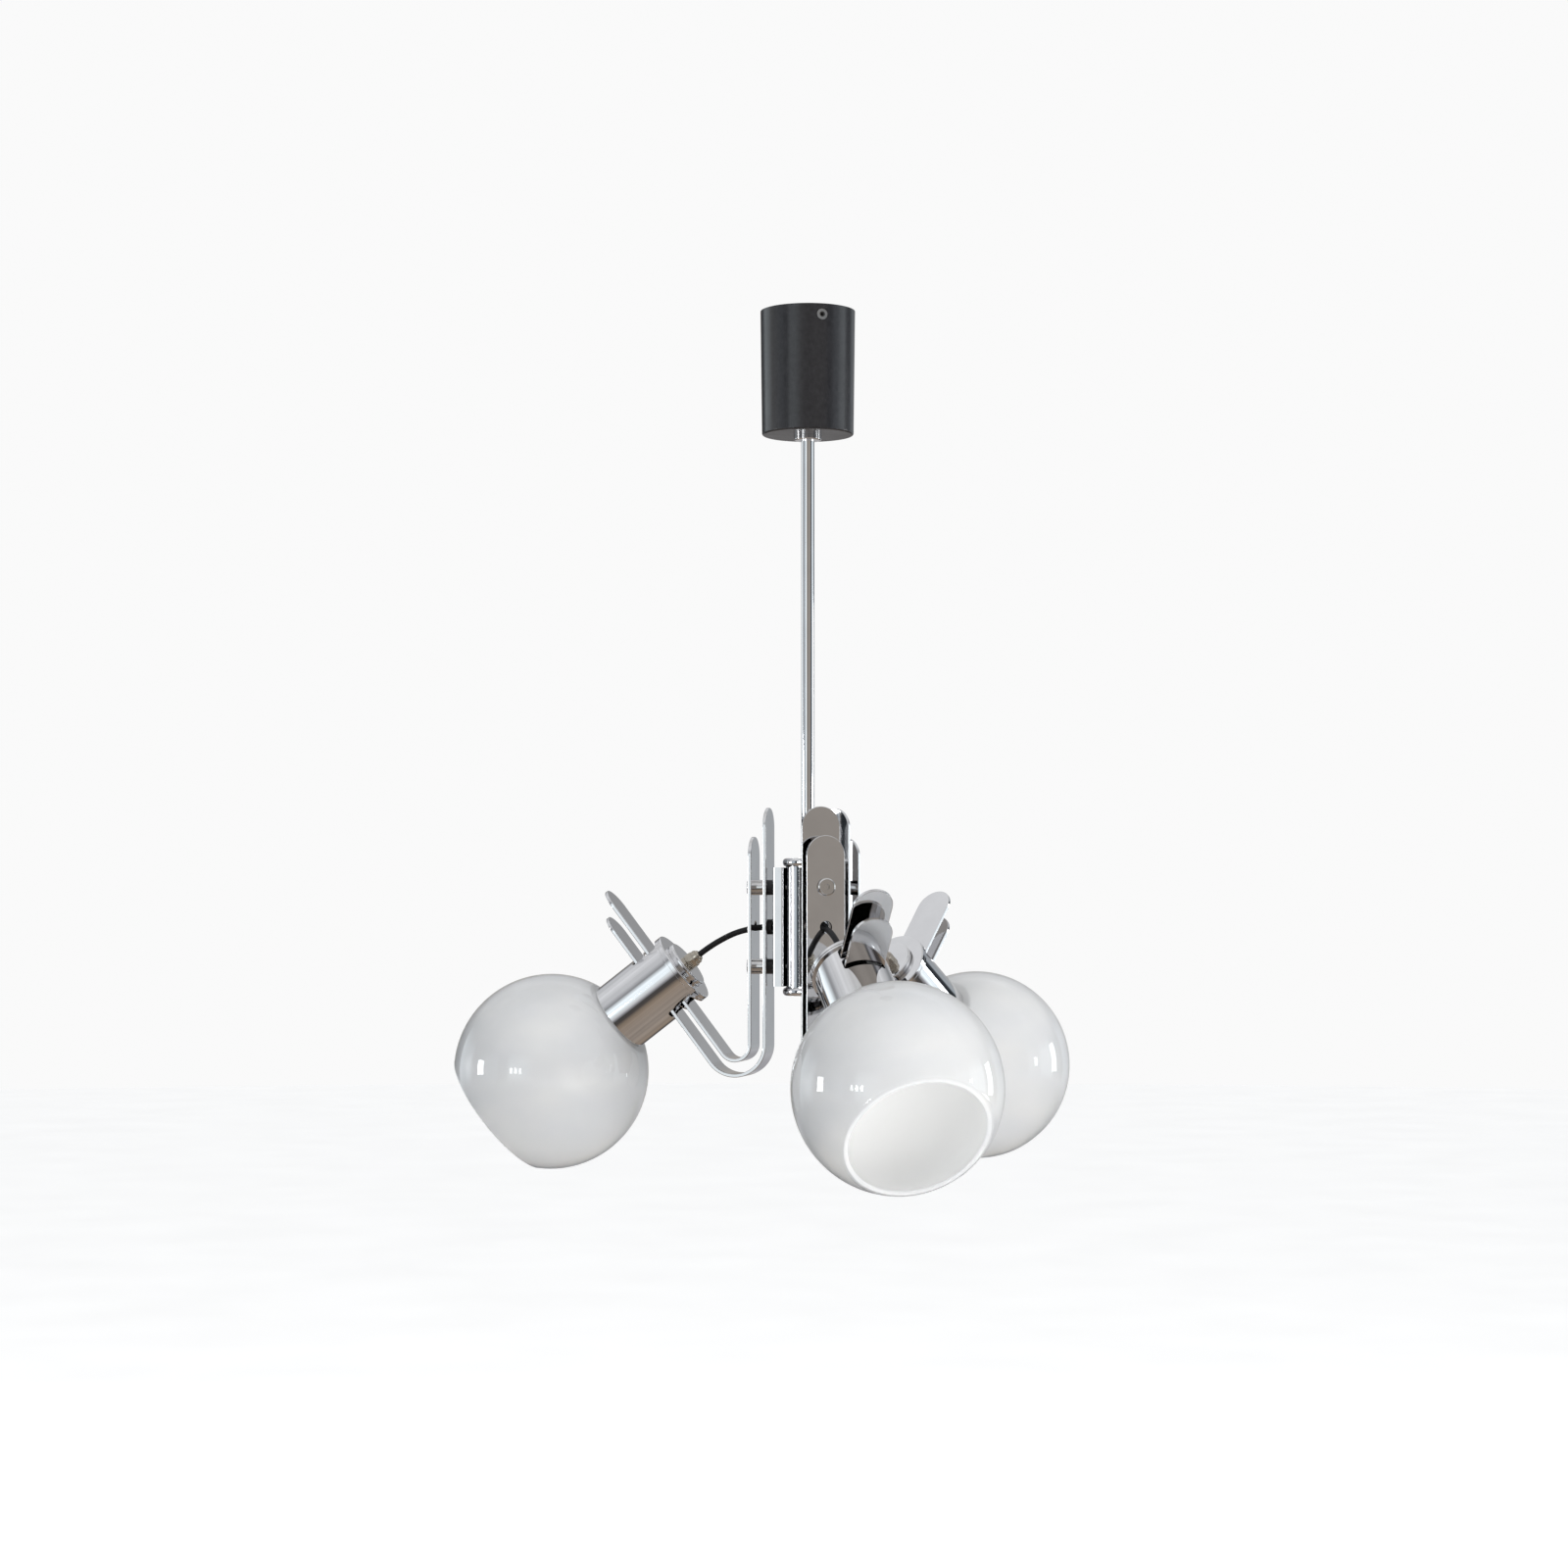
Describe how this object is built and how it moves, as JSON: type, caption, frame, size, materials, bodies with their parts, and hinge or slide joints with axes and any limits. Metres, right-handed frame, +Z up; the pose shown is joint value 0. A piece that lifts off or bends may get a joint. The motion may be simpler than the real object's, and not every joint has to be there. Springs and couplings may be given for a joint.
{
  "type": "multi arm chandelier",
  "caption": "Ceiling fitting on a rigid stem: paired bent chrome strips carry angled cups with open opal globes; the stem turns and the canopy slides down it.",
  "frame": {"origin": "centre of the ceiling bracket, midway between its two screw holes, in the plane of the ceiling", "axes": "+Z up into the ceiling, -Y towards the first arm; the bracket runs along Y"},
  "size_m": [0.5004, 0.4526, 0.6569],
  "materials": {
    "satin_black": "satin black stove enamel",
    "chrome": "polished chrome plate",
    "chrome_stem": "polished chrome plate on drawn tube",
    "chrome_strip": "polished chrome plate on flat bar",
    "chrome_cup": "polished chrome plate on turned tube",
    "chrome_fastener": "chrome plate, lightly brushed",
    "nickel": "nickel plate on brass",
    "zinc_plate": "zinc plate",
    "black_steel": "blackened steel set screw",
    "black_plastic": "black moulded plastic",
    "black_rubber": "black rubber",
    "white_plastic": "white moulded plastic",
    "wire_insulation": "coloured wire insulation",
    "cord_jacket": "black flexible jacket",
    "lamp_glass": "frosted lamp envelope",
    "opal_glass": "gloss opal glass, white inside a clear outer layer"
  },
  "bodies": {
    "ceiling_mount": {"ceiling_bracket": "zinc_plate", "stem_washer": "zinc_plate"},
    "canopy": {"canopy": "satin_black", "canopy_screws": "black_steel", "canopy_inserts": "zinc_plate", "canopy_bush": "chrome", "canopy_bush_nut": "zinc_plate"},
    "fitting": {"stem_rod": "chrome_stem", "stem_nuts": "zinc_plate", "stem_stop_pin": "zinc_plate", "terminal_block": "white_plastic", "supply_wires": "wire_insulation", "hub_tube": "chrome", "hub_top_cap": "chrome", "hub_bottom_cap": "chrome", "junction_block": "white_plastic", "hub_screws": "chrome_fastener", "strip_spacers": "chrome_fastener", "channel_spacers": "black_plastic", "cord_grommets": "black_rubber", "holder_nipples": "zinc_plate", "nipple_spacers": "zinc_plate", "hub_channel_1": "chrome", "outer_strip_1": "chrome_strip", "inner_strip_1": "chrome_strip", "cup_1": "chrome_cup", "cup_lid_1": "chrome_cup", "cord_gland_1": "nickel", "lampholder_1": "black_plastic", "globe_ring_1": "black_plastic", "lamp_cap_1": "nickel", "lamp_glass_1": "lamp_glass", "globe_1": "opal_glass", "cord_1": "cord_jacket", "hub_channel_2": "chrome", "outer_strip_2": "chrome_strip", "inner_strip_2": "chrome_strip", "cup_2": "chrome_cup", "cup_lid_2": "chrome_cup", "cord_gland_2": "nickel", "lampholder_2": "black_plastic", "globe_ring_2": "black_plastic", "lamp_cap_2": "nickel", "lamp_glass_2": "lamp_glass", "globe_2": "opal_glass", "cord_2": "cord_jacket", "hub_channel_3": "chrome", "outer_strip_3": "chrome_strip", "inner_strip_3": "chrome_strip", "cup_3": "chrome_cup", "cup_lid_3": "chrome_cup", "cord_gland_3": "nickel", "lampholder_3": "black_plastic", "globe_ring_3": "black_plastic", "lamp_cap_3": "nickel", "lamp_glass_3": "lamp_glass", "globe_3": "opal_glass", "cord_3": "cord_jacket"}
  },
  "joints": [
    {"name": "stem_swivel", "type": "hinge", "parent": "ceiling_mount", "child": "fitting", "pos_m": [0, 0, -0.02], "axis": [0, 0, 1], "range_deg": [-150, 150]},
    {"name": "canopy_slide", "type": "slide", "parent": "ceiling_mount", "child": "canopy", "axis": [0, 0, 1], "range_m": [-0.25, 0]}
  ]
}
